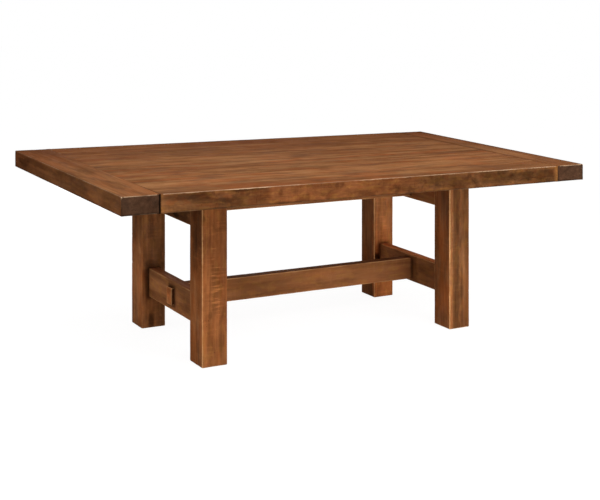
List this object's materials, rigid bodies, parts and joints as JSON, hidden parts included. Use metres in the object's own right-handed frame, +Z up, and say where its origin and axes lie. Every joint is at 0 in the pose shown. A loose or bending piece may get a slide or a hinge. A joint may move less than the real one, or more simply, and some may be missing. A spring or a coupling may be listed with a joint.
{
  "type": "trestle dining table",
  "caption": "Rustic wooden trestle dining table: thick plank top with breadboard ends on two end frames, joined by a low stretcher with through tenons.",
  "frame": {"origin": "on the floor under the middle of the table top", "axes": "+X along the length of the top, +Y across to the back, +Z up"},
  "size_m": [2.274, 1.242, 0.762],
  "materials": {
    "top_wood": "streaky warm brown stain under satin lacquer, worn arrises",
    "breadboard_wood": "warm brown stain under satin lacquer, darker end grain",
    "leg_wood": "warm brown stain with saw marks and worn arrises",
    "rail_wood": "warm brown stain under satin lacquer",
    "peg_wood": "plain sealed hardwood",
    "screw_steel": "zinc-plated"
  },
  "bodies": {
    "root": {"top_plank_1": "top_wood", "top_plank_2": "top_wood", "top_plank_3": "top_wood", "top_plank_4": "top_wood", "top_plank_5": "top_wood", "top_plank_6": "top_wood", "top_plank_7": "top_wood", "top_plank_8": "top_wood", "edge_strip_front": "top_wood", "edge_strip_back": "top_wood", "breadboard_end_left": "breadboard_wood", "breadboard_end_right": "breadboard_wood", "leg_front_left": "leg_wood", "leg_back_left": "leg_wood", "leg_front_right": "leg_wood", "leg_back_right": "leg_wood", "end_rail_left": "rail_wood", "end_rail_right": "rail_wood", "end_stretcher_left": "rail_wood", "end_stretcher_right": "rail_wood", "long_stretcher": "rail_wood", "centre_beam": "rail_wood", "breadboard_pegs": "peg_wood", "tenon_pegs": "peg_wood", "top_buttons": "peg_wood", "button_screws": "screw_steel"}
  },
  "joints": []
}
